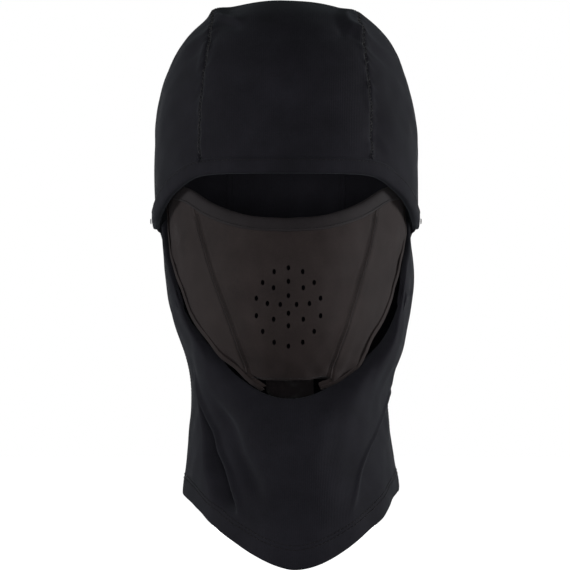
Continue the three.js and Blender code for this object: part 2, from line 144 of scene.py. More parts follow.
# Lines seen from the side, height by place from front (-) to back (+).
HOOD_EDGE = smooth([(-120, 25), (-104, 24.6), (-80, 21.6), (-66, 15), (-45, 4.5), (-20, -5.5), (6, -11),
                    (45, -28), (90, -41), (125, -49)])
COWL_LINE = smooth([(-112, -142), (-97, -118), (-82, -95), (-66, -76), (-45, -50), (-20, -27), (-6, -16), (2, -9),
                    (14, -6)])
NECK_TOP = smooth([(0, -5), (8, -6), (45, -21), (90, -33), (125, -42)])
MASK_EDGE = smooth([(-88, -125), (-85, -106), (-76, -84), (-52, -57), (-24, -27), (-8, -12)])
NECK_SEAM = smooth([(-240, 13), (-120, 8), (-40, 12), (10, 12)])  # place by height

# Lines seen from the front.
MASK_TOP = smooth([(0, -4.5), (26, -2.2), (48, 5.5), (64, 15), (76, 18), (100, 18)])  # height by distance out
MASK_SEAM = smooth([(-120, 22.5), (-107, 25.5), (-50, 44.5), (3, 58.4), (24, 62)])  # distance out by height
MASK_BOTTOM = -108.0
CHIN_END = -127.0

BAND_END = 6.0  # the brow band stops this far behind the ear axis
MASK_REAR = -8.0  # the mask's tabs stop here, in front of the ear axis
HEM_FRONT = -227.0
HEM_BACK = -214.0
HEM_SIDE = -184.0
HEM_POWER = {1: 1.8, -1: 1.58}
HEM_CORNER = {1: 10.0, -1: 4.5}  # how far the hem lifts at each side
HEM_DEPTH = 14.0
HEM_ROWS = (11.5, 14.5)  # the cover stitch's two rows above the hem
COWL_TURN = 9.0  # fabric turned in behind the cowl's edge

# The crown seams: distance from the middle on top, and how much that grows to the brow or falls to the nape.
CROWN_SEAM = 44
SEAM_TO_BROW, BROW_PLACE = 12, 88
SEAM_TO_NAPE, NAPE_PLACE = 6, 90

# Heights between which lines on the hood and mask, the neck and the mask's borders are looked for.
EDGE_SEARCH = (-60.0, 60.0)
NECK_SEARCH = (-245.0, 13.0)
MASK_SEARCH = (-125.0, 30.0)

# The neck tube leans a little to the wearer's left, as it hangs.
LEAN = smooth([(-240, 5.0), (-205, 4.2), (-180, 3.4), (-150, 2.8), (-121, 2.4), (-92, 4.6), (-60, 3.2),
               (-30, 1.2), (-10, 0)])
MASK_LEAN = smooth([(-120, 2.4), (-80, 1.8), (-40, 0.8), (0, 0)])


# ---- forms


def around(side, front, back, power, bearing):
    """x and y of a rounded section at a bearing (0 is the face, a quarter turn is the wearer's left ear)."""
    sine, cosine = np.sin(bearing), np.cos(bearing)
    reach = np.where(cosine > 0, front, back)
    x = np.sign(sine) * side * np.abs(sine) ** (2 / power)
    y = -np.sign(cosine) * reach * np.abs(cosine) ** (2 / power)
    return x, y


def points(x, y, z):
    """Points from coordinates that may be arrays of different shapes."""
    return np.stack(np.broadcast_arrays(x, y, z), axis=-1).astype(float)


def hood_at(bearing, z):
    """Points on the hood's form, by bearing and height."""
    u = np.clip((z - DOME_BASE) / DOME_HEIGHT, 0, 1)
    shrink = (1 - u**DOME_POWER) ** (1 / DOME_POWER)
    side, back = HOOD_SIDE(z) * shrink, HOOD_BACK(z) * shrink
    x, y = around(side, HOOD_FRONT * shrink, back, HOOD_POWER, bearing)
    return points(x, y, z)


HALVINGS = 40


def solve(error, low, high):
    """Where error, which rises from low to high, crosses zero, for a whole array at once."""
    for _ in range(HALVINGS):
        middle = (low + high) / 2
        over = error(middle) > 0
        high = np.where(over, middle, high)
        low = np.where(over, low, middle)
    return (low + high) / 2


def run_length(line):
    """Distance along a line of each of its points."""
    return np.concatenate([[0], np.cumsum(np.linalg.norm(np.diff(line, axis=0), axis=1))])


def between(at, known, line):
    """Points of a line at places that lie between its known ones."""
    return np.stack([np.interp(at, known, line[:, k]) for k in range(line.shape[1])], axis=1)


def spread_even(lines, count):
    """count points at even spacing along each of several lines."""
    spread = []
    for line in lines:
        along = run_length(line)
        spread.append(between(np.linspace(0, along[-1], count), along, line))
    return np.stack(spread)


def unit(v):
    return v / np.maximum(np.linalg.norm(v, axis=-1, keepdims=True), 1e-9)


def normals(grid):
    """Unit normals of a grid of points, facing away from the head."""
    n = unit(np.cross(np.gradient(grid, axis=0), np.gradient(grid, axis=1)))
    middle = grid - points(0, 0, np.minimum(grid[..., 2], 20))
    sign = 1 if np.sum(n * middle) > 0 else -1
    return n * sign


# ---- cloth wrinkles


def waves(p, seed, size, count=7):
    """A soft random field about -1 to 1 with features of about the given size, the same on every run."""
    random = np.random.default_rng(seed)
    total = 0
    for _ in range(count):
        direction = random.normal(size=3)
        direction *= 2 * math.pi / (size * random.uniform(0.7, 1.5) * np.linalg.norm(direction))
        total = total + np.sin(p @ direction + random.uniform(0, 2 * math.pi))
    return total / math.sqrt(count)


# ---- mesh making


def make(name, vertices, faces, uv=None, material=None):
    """A closed, smooth-shaded mesh object from points in millimetres about the ear axis."""
    mesh = bpy.data.meshes.new(name)
    placed = np.asarray(vertices, float) * MM + [0, 0, EAR_HEIGHT]
    mesh.from_pydata(placed.tolist(), [], [list(map(int, f)) for f in faces])
    if uv is not None:
        layer = mesh.uv_layers.new(name="weave")
        index = np.empty(len(mesh.loops), np.int32)
        mesh.loops.foreach_get("vertex_index", index)
        layer.data.foreach_set("uv", (np.asarray(uv)[index] * MM).astype(np.float32).ravel())
    mesh.validate()
    mesh.polygons.foreach_set("use_smooth", [True] * len(mesh.polygons))
    obj = bpy.data.objects.new(name, mesh)
    bpy.context.scene.collection.objects.link(obj)
    if material:
        mesh.materials.append(material)
    work = bmesh.new()
    work.from_mesh(mesh)
    bmesh.ops.recalc_face_normals(work, faces=work.faces)
    work.to_mesh(mesh)
    work.free()
    return obj


def numbers(rings):
    """Vertex numbers for an array of points with one row for each ring."""
    return np.arange(len(rings) * rings.shape[1]).reshape(rings.shape[:2])


def strip_faces(index):
    """Quads between neighbouring rings, from their vertex numbers."""
    after = np.roll(index, -1, axis=1)
    return np.stack([index[:-1], index[1:], after[1:], after[:-1]], axis=-1).reshape(-1, 4)


def metric_uv(grid):
    """Distances along a grid's rows and columns, in millimetres, measured from its middle."""
    def distance(axis):
        gaps = np.diff(grid, axis=axis, prepend=grid.take([0], axis))
        return np.cumsum(np.linalg.norm(gaps, axis=2), axis=axis)

    u = distance(0)
    return np.stack([u - u[len(u) // 2], distance(1)], axis=-1)


def sheet(name, grid, thickness, material, rim=4):
    """A closed sheet of cloth: grid is its outer face, and its first and last rows end in round edges."""
    n = normals(grid)
    thick = np.broadcast_to(thickness, grid.shape[:2])
    inner = grid - n * thick[..., None]
    uv = metric_uv(grid)
    angles = np.linspace(0, math.pi, rim + 2)[1:-1]

    def edge(j, before):
        away = unit(grid[:, j] - grid[:, before])
        radius = thick[:, j, None] / 2
        return [grid[:, j] - n[:, j] * radius * (1 - math.cos(a)) + away * radius * math.sin(a) for a in angles]

    outer_face, inner_face, spread = (np.moveaxis(a, 1, 0) for a in (grid, inner, uv))
    ring = np.stack([*outer_face, *edge(-1, -2), *inner_face[::-1], *edge(0, 1)[::-1]], axis=1)
    uvs = np.stack([*spread, *[spread[-1]] * rim, *spread[::-1], *[spread[0]] * rim], axis=1)
    index = numbers(ring)
    faces = list(strip_faces(index))
    nv = grid.shape[1]
    for row, way in ((index[0], 1), (index[-1], -1)):
        outer, back = row[:nv], row[nv + rim:nv + rim + nv][::-1]
        caps = [[outer[j], outer[j + 1], back[j + 1], back[j]] for j in range(nv - 1)]
        caps.append([outer[-1], *row[nv:nv + rim], back[-1]])
        caps.append([back[0], *row[nv + rim + nv:], outer[0]])
        faces += [cap[::way] for cap in caps]
    return make(name, ring.reshape(-1, 3), faces, uvs.reshape(-1, 2), material)


def sweep(name, section, base, across, out, material):
    """A closed section, as (across, out) pairs, carried along a path of points with its own directions."""
    s = np.array(section, float)
    ring = base[:, None] + across[:, None] * s[:, 0, None] + out[:, None] * s[:, 1, None]
    index = numbers(ring)
    faces = [*strip_faces(index), index[0], index[-1][::-1]]
    uv = np.stack(np.broadcast_arrays(run_length(base)[:, None], run_length(s)), axis=-1)
    return make(name, ring.reshape(-1, 3), faces, uv.reshape(-1, 2), material)


THREAD_SIDES = 6


def threads(name, strands, radius, material):
    """Many short lengths of thread in one mesh; each strand is an array of points."""
    vertices, faces = [], []
    turn = np.linspace(0, 2 * math.pi, THREAD_SIDES, endpoint=False)
    start = 0
    for line in strands:
        along = unit(np.gradient(line, axis=0))
        helper = np.where(np.abs(along[:, 2:3]) < 0.8, [0, 0, 1.0], [1.0, 0, 0])
        a = unit(np.cross(along, helper))
        b = np.cross(along, a)
        ring = line[:, None] + radius * (a[:, None] * np.cos(turn)[:, None] + b[:, None] * np.sin(turn)[:, None])
        vertices.append(ring.reshape(-1, 3))
        index = numbers(ring) + start
        faces += [*strip_faces(index)[:, [0, 3, 2, 1]], index[0], index[-1][::-1]]
        start += index.size
    return make(name, np.concatenate(vertices), faces, None, material)


def attach(obj, body, slot, *nodes):
    """Makes a piece ride on a body, in the place of the named CAD nodes. The slot is not used."""
    if nodes:
        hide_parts(*nodes)
    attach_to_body(obj, body)


def resample(line, gap):
    """Points about gap apart along a line, with the same spacing throughout."""
    along = run_length(line)
    return between(np.linspace(0, along[-1], max(2, int(round(along[-1] / gap)) + 1)), along, line)


def stretch_to(vectors, count):
    """Unit directions along a line, spread over count points."""
    return unit(between(np.linspace(0, 1, count), np.linspace(0, 1, len(vectors)), vectors))


STITCH_POINTS = 8  # points in one stitch and the gap after it
CROSSING_POINTS = 6  # points in one crossing of a zigzag


def stitch_row(line, out, length, gap, rise):
    """Lockstitches along a line: each strand dips into the cloth at both ends."""
    pitch = length + gap
    spots = resample(line, pitch / STITCH_POINTS)
    normal = stretch_to(out, len(spots))
    dash = int(round(STITCH_POINTS * length / pitch))
    t = np.linspace(0, math.pi, dash + 1)
    dip = 0.6
    lift = (np.sin(t) ** 0.6 * rise * (1 + dip) - rise * dip)[:, None]
    return [spots[i:i + dash + 1] + normal[i:i + dash + 1] * lift
            for i in range(0, len(spots) - dash - 1, STITCH_POINTS)]


def twin_rows(line, out, across, half_width, length, gap, rise):
    """Two rows of lockstitches, one on each side of a line."""
    return [strand for offset in (-half_width, half_width)
            for strand in stitch_row(line + across * offset, out, length, gap, rise)]


def zigzag(line, out, across, pitch, half_width, rise):
    """One thread that crosses from side to side of a line, high in the middle of each crossing."""
    spots = resample(line, pitch / CROSSING_POINTS)
    normal, side = stretch_to(out, len(spots)), stretch_to(across, len(spots))
    phase = np.arange(len(spots)) / CROSSING_POINTS * math.pi
    swing = 2 / math.pi * np.arcsin(np.sin(phase)) * half_width
    lift = rise * np.cos(phase) ** 2
    return [spots + side * swing[:, None] + normal * lift[:, None]]


# ---- cloth surfaces


def level(p, side, front, back, power):
    """How far out a point is in a rounded section, 1 on its outline, to the section's power."""
    reach = np.where(p[..., 1] < 0, front, back)
    return np.abs(p[..., 0] / side) ** power + np.abs(p[..., 1] / reach) ** power


def hood_form(p):
    """How far out a point is in the hood's form: 1 on it, less inside."""
    z = p[..., 2]
    rise = np.maximum(0, (z - DOME_BASE) / DOME_HEIGHT)
    flat = level(p, HOOD_SIDE(z), HOOD_FRONT, HOOD_BACK(z), HOOD_POWER)
    return flat ** (DOME_POWER / HOOD_POWER) + rise**DOME_POWER


def tube(side, front, back, power, lean):
    """The same two descriptions of a tube that leans: its points by bearing and height, and how far out one is."""
    def at(bearing, z):
        x, y = around(side(z), front(z), back(z), power, bearing)
        return points(x + lean(z), y, z)

    def form(p):
        z = p[..., 2]
        return level(p - points(lean(z), 0, 0), side(z), front(z), back(z), power)

    return at, form


neck_at, neck_form = tube(NECK_SIDE, NECK_FRONT, NECK_BACK, NECK_POWER, LEAN)
mask_at, mask_form = tube(MASK_SIDE, MASK_FRONT, lambda z: MASK_BACK, MASK_POWER, MASK_LEAN)


def outward(form, p):
    """The form's unit normal at points on it."""
    nudge = 0.05 * np.eye(3)
    return unit(np.stack([form(p + nudge[k]) - form(p - nudge[k]) for k in range(3)], axis=-1))


def crown_seam(y):
    """Distance of the crown seams from the middle, at a place y from front to back."""
    bend = np.where(y < 0, SEAM_TO_BROW / BROW_PLACE**2, -SEAM_TO_NAPE / NAPE_PLACE**2)
    return CROWN_SEAM + bend * y * y


# Creases seen from the front: the x and z of both ends, then width and height.
CROWN_CREASES = [
    (-47, 126, -29, 123, 5.0, 1.5),
    (-66, 103, -51, 116, 6.0, 1.3),
    (-56, 92, -51, 110, 4.5, 1.0),
    (42, 120, 68, 101, 5.0, 1.2),
    (37, 128, 42, 116, 6.0, 1.2),
    (-52, 62, -8, 98, 26.0, 0.9),
    (-74, 60, -60, 20, 16.0, 0.8),
    (60, 84, 74, 40, 14.0, 0.8),
    (57, 52, 66, 38, 5.0, 0.5),
]


def creases(x, z, lines):
    """Ridges along straight lines in the front view, each with a hollow under it and fading at its ends."""
    total = 0
    for x0, z0, x1, z1, width, height in lines:
        along = np.array([x1 - x0, z1 - z0], float)
        length = np.hypot(*along)
        along /= length
        t = ((x - x0) * along[0] + (z - z0) * along[1]) / length
        off = (z - z0) * abs(along[0]) - (x - x0) * along[1] * np.sign(along[0])
        fade = step(-0.25, 0.25, t) * (1 - step(0.75, 1.25, t))
        total = total + height * fade * (hump(0, width, off) - 0.7 * hump(-0.9 * width, width, off))
    return total


def hood_swell(p):
    """How far the hood's cloth stands out from its form: seam grooves and puckers, corners, slack."""
    x, y, z = np.moveaxis(p, -1, 0)
    off = np.abs(x) - crown_seam(y)
    upper = step(25, 60, z)
    welt = 0.35 * hump(0, 7, off) - 0.75 * hump(0, 1.9, off)
    pucker = 0.3 * hump(0, 9, off) * waves(p * [0.2, 1, 1], 3, 5.5) * (1 - 0.8 * step(70, 92, y))
    gather = 0.45 * hump(0, 18, off) * waves(p * [0.3, 1, 1], 4, 15)
    corner = 2.2 * hump(0, 18, off) * step(92, 122, z)
    slack = 0.55 * waves(p, 5, 60) + 0.22 * waves(p, 6, 22)
    behind = 0.6 * waves(p * [1, 1, 0.5], 8, 42) * step(40, 80, y)
    folds = creases(x, z, CROWN_CREASES) * (1 - step(0, 25, y))
    nape = -3.4 * step(2, -14, z) * step(4, 14, y) * (1 - step(55, 90, y))
    temples = -1.5 * hump(88, 62, z) * step(45, 72, np.abs(x))
    return (temples + welt + pucker + gather + corner * (0.8 + 0.35 * waves(p, 9, 22)) + slack * (0.6 + 0.4 * upper)
            + behind + folds + nape)


def bearing_on_neck(p):
    z = p[..., 2]
    x = (p[..., 0] - LEAN(z)) / NECK_SIDE(z)
    y = -p[..., 1] / np.where(p[..., 1] < 0, NECK_FRONT(z), NECK_BACK(z))
    power = NECK_POWER / 2
    return np.arctan2(np.sign(x) * np.abs(x) ** power, np.sign(y) * np.abs(y) ** power)


# Where the two front folds run, seen from the front: distance from the middle by height.
RIGHT_FOLD = smooth([(-215, -26), (-182, -33), (-163, -39), (-153, -42.5), (-141, -46), (-118, -55.5), (-97, -62)])
LEFT_FOLD = smooth([(-215, 36), (-186, 43), (-166, 48.5), (-153, 53), (-141, 58.5), (-118, 66), (-97, 71)])
FOLD_REACH = smooth([(-200, 27), (-166, 24), (-153, 21), (-140, 16), (-128, 11), (-105, 8)])
NECK_RADIUS = 80.0


def beyond_fold(bearing, z, fold, side):
    """Distance round the neck from a fold, in millimetres, rising towards the ear on that side."""
    x = np.clip(side * (fold(z) - LEAN(z)) / NECK_SIDE(z), 0, 1)
    return (side * bearing - np.arcsin(x ** (NECK_POWER / 2))) * NECK_RADIUS


def front_folds(p):
    """A deep fold on the wearer's right, overlapped by the bib, and a sharp crease on the left."""
    z = p[..., 2]
    bearing = bearing_on_neck(p)
    strength = step(-96, -120, z) * step(-197, -175, z)
    right = beyond_fold(bearing, z, RIGHT_FOLD, -1) + 0.8 * waves(p, 26, 30)
    reach = FOLD_REACH(z)
    drop = -19 * step(-0.2, 4.6, right) * (1 - step(0.22, 1, right / reach)) * step(-100, -140, z)
    overlap = 2.6 * hump(-1.8, 6, right) + drop
    left = beyond_fold(bearing, z, LEFT_FOLD, 1) + 0.6 * waves(p, 27, 36)
    crease = 1.3 * hump(-0.5, 4.5, left) - 1.2 * step(-0.6, 5, left) * (1 - step(8, 28, left))
    hollow = -3.4 * hump(-20, 15, right) * step(-112, -134, z) * step(-196, -170, z)
    return strength * (overlap + crease + hollow)


def neck_swell(p):
    """How far the neck's cloth stands out from its form: folds, hem and slack."""
    _, y, z = np.moveaxis(p, -1, 0)
    bearing = np.degrees(bearing_on_neck(p))
    front = step(12, -14, y)
    rear = step(10, 40, y)
    bib = 1.6 * (1 - step(6, 34, np.abs(bearing))) * step(-200, -150, z) * step(-118, -135, z)
    long_folds = 1.8 * np.sin(np.radians(bearing) * 9 + 0.8 * waves(p, 22, 120)) * step(-60, -120, z)
    hem = 0.8 * waves(p * [1, 1, 0.3], 23, 34) * step(-165, -200, z)
    slack = 0.8 * waves(p, 24, 55) + 0.25 * waves(p, 25, 20)
    tucked = step(-8, -30, z)
    under_hood = -2.6 * step(-36, -22, z) * step(0, 10, y) * (1 - step(60, 90, y))
    return ((front_folds(p) + bib) * front + long_folds * rear + hem + slack) * tucked + under_hood


def tuck_back(p):
    """How far the top of the neck's front draws back under the edge of the mask."""
    below = 0.72 * (COWL_LINE(p[..., 1]) - p[..., 2])
    bearing = np.degrees(bearing_on_neck(p))
    depth = 15 + 9 * step(6, 46, np.abs(bearing)) + 2 * np.tanh(bearing / 20)
    return depth * (1 - step(50, 78, np.abs(bearing))) * np.clip(1 - below / 31, 0, 1) ** 2


def mask_swell(p):
    """The mask's stiffer cloth: a faint middle crease, raised seams, and drag lines from the ears."""
    x, _, z = np.moveaxis(p, -1, 0)
    off = np.abs(x - MASK_LEAN(z)) - MASK_SEAM(z)
    welt = 0.45 * hump(0, 6, off) - 0.55 * hump(1.5, 1.5, off) - 0.55 * hump(-1.5, 1.5, off)
    crease = 0.5 * hump(0, 9, x) * step(-5, -40, z) * step(-112, -90, z)
    drag = 0.7 * waves(p * [0.35, 0.35, 1], 31, 18) * step(45, 72, np.abs(x)) * step(-70, -20, z)
    lower = 0.9 * waves(p * [1, 1, 0.6], 32, 16) * step(-84, -106, z) * step(8, 30, np.abs(x))
    slack = 0.4 * waves(p, 33, 46) + 0.12 * waves(p, 34, 15)
    return welt + crease + drag + lower + slack


def dress(form, swell, p, out=0.0):
    """Where the cloth over a form lies, and its direction out, for points on the form."""
    n = outward(form, p)
    return p + n * (swell(p) + out)[..., None], n


# ---- materials

ONE_BAND = 0.314159  # a wave texture's scale for one band in each unit of length


def set_inputs(node, values):
    for name, value in values.items():
        node.inputs[name].default_value = value


def material(name, base, roughness, sheen, rib, fuzz, specular, rib_share=0.5, tint=(1, 1, 1)):
    """Knitted or woven cloth. rib is (across, along) in millimetres; fuzz is the depth of the nap."""
    mat = bpy.data.materials.new(name)
    mat.use_nodes = True
    nodes, links = mat.node_tree.nodes, mat.node_tree.links
    shader = nodes["Principled BSDF"]
    set_inputs(shader, {"Roughness": roughness, "Sheen Weight": sheen, "Sheen Roughness": 0.45,
                        "Sheen Tint": (*tint, 1), "Specular IOR Level": specular})
    uv = nodes.new("ShaderNodeUVMap")
    uv.uv_map = "weave"
    weave, place = uv.outputs["UV"], nodes.new("ShaderNodeTexCoord").outputs["Object"]

    def texture(kind, vector, values):
        node = nodes.new(kind)
        set_inputs(node, values)
        links.new(vector, node.inputs["Vector"])
        return node

    def wave(direction, period, distortion):
        node = texture("ShaderNodeTexWave", weave, {"Scale": ONE_BAND / (period * MM), "Distortion": distortion,
                                                    "Detail": 2, "Detail Scale": 1.5})
        node.bands_direction = direction
        return node.outputs["Fac"]

    def noise(size, detail):
        values = {"Scale": 1 / (size * MM), "Detail": detail, "Roughness": 0.6}
        return texture("ShaderNodeTexNoise", place, values).outputs["Fac"]

    def calculate(kind, first):
        node = nodes.new("ShaderNodeMath")
        node.operation = kind
        links.new(first, node.inputs[0])
        return node

    def weigh(start, *parts):
        """start plus each of the parts, which are (output, weight) pairs."""
        for output, weight in parts:
            term = calculate("MULTIPLY", output)
            term.inputs[1].default_value = weight
            if start is not None:
                total = calculate("ADD", start)
                links.new(term.outputs[0], total.inputs[1])
                term = total
            start = term.outputs[0]
        return start

    ribs, courses = wave("X", rib[0], 0.6), wave("Y", rib[1], 1.2)
    nap, cloud = noise(0.9, 4), noise(28, 3)
    knit = weigh(None, (ribs, rib_share), (courses, 1 - rib_share))
    bump = nodes.new("ShaderNodeBump")
    set_inputs(bump, {"Strength": 0.42, "Distance": 0.16 * MM})
    links.new(weigh(knit, (nap, fuzz)), bump.inputs["Height"])
    links.new(bump.outputs["Normal"], shader.inputs["Normal"])

    ramp = nodes.new("ShaderNodeValToRGB")
    for stop, (position, brightness) in zip(ramp.color_ramp.elements, ((0.3, 0.62), (0.72, 1.38))):
        stop.position = position
        stop.color = (*[brightness * c for c in base], 1)
    links.new(weigh(None, (knit, 0.14), (cloud, 0.54), (nap, 0.32)), ramp.inputs["Fac"])
    links.new(ramp.outputs["Color"], shader.inputs["Base Color"])
    return mat


FLEECE = material("black_fleece", (0.0125, 0.0120, 0.0160), roughness=0.9, sheen=0.05, rib=(1.25, 0.95),
                  rib_share=0.65, fuzz=0.8, tint=(0.8, 0.9, 1.0), specular=0.12)
SHELL = material("charcoal_shell", (0.0262, 0.0196, 0.0190), roughness=0.75, sheen=0.03, rib=(0.55, 0.55),
                 fuzz=0.25, tint=(1.0, 0.95, 1.0), specular=0.14)
SHELL_BAND = material("charcoal_band", (0.0185, 0.0155, 0.0170), roughness=0.7, sheen=0.03, rib=(0.7, 0.5),
                      rib_share=0.6, fuzz=0.4, specular=0.14)
# Painted shade: the chin's cloth is made near-black and warm so that its colour stands in for the shadow under the
# mask's lower edge.
CHIN_PAINTED_SHADE = material("chin_painted_shade", (0.0050, 0.0031, 0.0037), roughness=0.75, sheen=0.02, rib=(0.9, 0.9),
                fuzz=0.4, specular=0.2)
SEAM_THREAD = material("dark_thread", (0.0075, 0.0062, 0.0068), roughness=0.6, sheen=0.03, rib=(0.4, 0.4),
                       fuzz=0.2, specular=0.2)
THREAD = material("black_thread", (0.0170, 0.0165, 0.0190), roughness=0.5, sheen=0.04, rib=(0.4, 0.4),
                  fuzz=0.2, specular=0.3)
ELASTIC = material("elastic_web", (0.012, 0.012, 0.013), roughness=0.8, sheen=0.02, rib=(1.0, 0.6),
                   rib_share=0.6, fuzz=0.3, specular=0.15)


# ---- hood


def crown_rows():
    """Stations over the head from brow to nape: (kind, value), an angle over the dome or a share down a wall."""
    rows = [("front", t) for t in np.linspace(0, 1, 4, endpoint=False)]
    rows += [("dome", a) for a in np.linspace(0, math.pi, 120)]
    rows += [("back", t) for t in np.linspace(0, 1, 40)[1:]]
    return rows


def crown_point(kind, value, x):
    """The hood's form at distances x from the middle, at one station."""
    if kind == "dome":
        cosine, sine = math.cos(value), math.sin(value)

        def error(r):
            return hood_form(points(x, -r * cosine, DOME_BASE + r * sine)) - 1

        r = solve(error, 0, 140)
        return points(x, -r * cosine, DOME_BASE + r * sine)
    sign = -1 if kind == "front" else 1

    def wall(z):
        reach = HOOD_FRONT if sign < 0 else HOOD_BACK(z)
        return sign * reach * np.maximum(0, 1 - np.abs(x / HOOD_SIDE(z)) ** HOOD_POWER) ** (1 / HOOD_POWER)

    tuck = PANEL_TUCK if sign < 0 else 0
    bottom = solve(lambda z: z - HOOD_EDGE(wall(z)) - tuck, -60, DOME_BASE)
    share = 1 - value if sign < 0 else value
    z = DOME_BASE + (bottom - DOME_BASE) * share
    return points(x, wall(z), z)


def crown_grid(columns, rows):
    """The centre panel's form, columns across and rows from brow to nape, its borders on the seams."""
    lines = []
    across = np.linspace(-1, 1, columns)
    for kind, value in crown_rows():
        half = np.array([50.0])
        for _ in range(6):
            half = crown_seam(crown_point(kind, value, half)[..., 1])
        lines.append(crown_point(kind, value, across * half[0]))
    return spread_even(np.stack(lines, axis=1), rows)


# How far round the hood, in radians, a side panel's threads land before its back corner per millimetre of seam.
SEAM_FAN = 0.0055


def side_grid(columns, rows):
    """A side panel's form on the wearer's left: columns from seam front to seam back, rows from seam to edge."""
    seam = crown_grid(3, 400)[-1]
    z = seam[:, 2]
    shrink = (1 - np.clip((z - DOME_BASE) / DOME_HEIGHT, 0, 1) ** DOME_POWER) ** (1 / DOME_POWER)
    sine = np.clip(seam[:, 0] / (HOOD_SIDE(z) * shrink), 0, 1) ** (HOOD_POWER / 2)
    bearing = np.where(seam[:, 1] < 0, np.arcsin(sine), math.pi - np.arcsin(sine))

    def edge_below(where, top):
        def error(height):
            y = hood_at(where, height)[..., 1]
            return height - HOOD_EDGE(y) - PANEL_TUCK * step(10, 2, y)

        return solve(error, -60, np.maximum(top, -30))

    tall = z - edge_below(bearing, z) > 1.5
    seam, bearing, z = seam[tall], bearing[tall], z[tall]
    left = np.cumsum(np.linalg.norm(np.diff(seam, axis=0, append=seam[-1:]), axis=1)[::-1])[::-1]
    landing = np.minimum(bearing, bearing[-1] - SEAM_FAN * left)
    bottom = edge_below(landing, z)

    def arc(height):
        u = np.clip((height - DOME_BASE) / DOME_HEIGHT, 0, 1)
        return np.where(height > DOME_BASE, np.arcsin(u ** (DOME_POWER / 2)), (height - DOME_BASE) / DOME_HEIGHT)

    t = np.linspace(0, 1, 160)
    a = arc(z)[:, None] * (1 - t) + arc(bottom)[:, None] * t
    rise = np.sin(np.clip(a, 0, math.pi / 2)) ** (2 / DOME_POWER)
    height = np.where(a > 0, DOME_BASE + DOME_HEIGHT * rise, DOME_BASE + a * DOME_HEIGHT)
    lines = hood_at(bearing[:, None] * (1 - t) + landing[:, None] * t, height)
    falls = spread_even(lines, rows)
    gaps = sum(np.linalg.norm(np.diff(falls[:, j], axis=0), axis=1) for j in (0, rows // 2))
    along = np.concatenate([[0], np.cumsum(gaps)])
    at = np.linspace(0, along[-1], columns)
    return np.stack([between(at, along, falls[:, j]) for j in range(rows)], axis=1)


def over_hood(grid):
    return dress(hood_form, hood_swell, grid)[0]


FLATLOCK = 2.1  # pitch of the flatlock stitches


def seam_pieces(name, line, form, swell, half_width):
    """A flatlock seam along a line on a form: two needle rows, looper thread across them, and a tape behind."""
    line = resample(line, 1.0)
    p, n = dress(form, swell, line, 0.15)
    side = unit(np.cross(n, unit(np.gradient(p, axis=0))))
    strands = twin_rows(p, n, side, half_width, FLATLOCK * 0.8, FLATLOCK * 0.2, 0.3)
    strands += zigzag(p, n, side, FLATLOCK, half_width, 0.35)
    share = np.linspace(-1, 1, 5)[:, None, None]
    tape = dress(form, swell, line, -FABRIC - 0.12)[0] + side * share * (half_width + 0.7)
    attach(sheet(f"{name}_back", tape, 0.3, FLEECE, rim=2), "hood", "thread")
    attach(threads(f"{name}_threads", strands, 0.26, THREAD), "hood", "thread", name)


def build_hood():
    grid = crown_grid(columns=84, rows=250)
    centre = sheet("crown_centre", over_hood(grid), FABRIC, FLEECE)
    attach(centre, "hood", "fleece", "crown_centre_panel")
    for side, sign in SIDES:
        mirror = [sign, 1, 1]
        panel = sheet(f"crown_side_{side}", over_hood(side_grid(columns=230, rows=90) * mirror), FABRIC, FLEECE)
        attach(panel, "hood", "fleece", f"crown_side_panel_{side}")
        seam_pieces(f"crown_seam_{side}", grid[-1][2:-1] * mirror, hood_form, hood_swell, 1.3)


def edge_path(bearings, error, surface):
    """Points on a form, at the given bearings, where a line seen from the side or front crosses it."""
    return surface(bearings, solve(lambda z: error(surface(bearings, z)), *EDGE_SEARCH))


def directions(form, base):
    """The directions out of a form and across a path on it, in the cloth."""
    n = outward(form, base)
    return n, unit(np.cross(n, unit(np.gradient(base, axis=0))))


def band_section(width, fabric, wall=BAND_WALL, puff=1.0):
    """A folded binding's section: its outer wall, the fold at 0, its inner wall, and the slot between them."""
    clear, fold, corner = 0.3, 1.2, 0.5
    out, inn = clear, -fabric - clear
    middle, half = (out + wall + inn - wall) / 2, (out - inn + 2 * wall) / 2
    turn = [(-0.25 + 1.1 * (1 - math.sin(a)), middle + half * math.cos(a))
            for a in np.linspace(corner, math.pi - corner, 7)]
    return ([(width, out), (width + 0.15, out + wall / 2), (width - 0.3, out + wall),
             (width * 0.75, out + wall + 0.3 * puff), (width * 0.45, out + wall + 0.38 * puff),
             (width * 0.2, out + wall + 0.25 * puff)] + turn
            + [(width * 0.3, inn - wall), (width, inn - wall), (width, inn), (fold, inn), (fold, out)])


def build_brow_band():
    reach = HOOD_BACK(float(HOOD_EDGE(BAND_END)))
    end = math.pi / 2 + math.asin((BAND_END / reach) ** (HOOD_POWER / 2))
    base = edge_path(np.linspace(-end, end, 260), lambda p: p[..., 2] - HOOD_EDGE(p[..., 1]), hood_at)
    base = resample(base, 1.4)
    n, up = directions(hood_form, base)
    up = up * np.sign(up[:, 2:3].mean())
    base = base + n * (0.22 * waves(base, 41, 30) + 0.08 * waves(base, 42, 9))[:, None]
    band = sweep("brow_band", band_section(FACE_BAND, FABRIC), base, up, n, FLEECE)
    attach(band, "hood", "fleece", "face_opening_binding")
    line = base + up * (FACE_BAND - 1.5) + n * 1.5
    stitches = threads("brow_band_stitches", stitch_row(line, n, 2.4, 0.6, 0.12), 0.17, SEAM_THREAD)
    attach(stitches, "hood", "thread", "face_opening_topstitch")


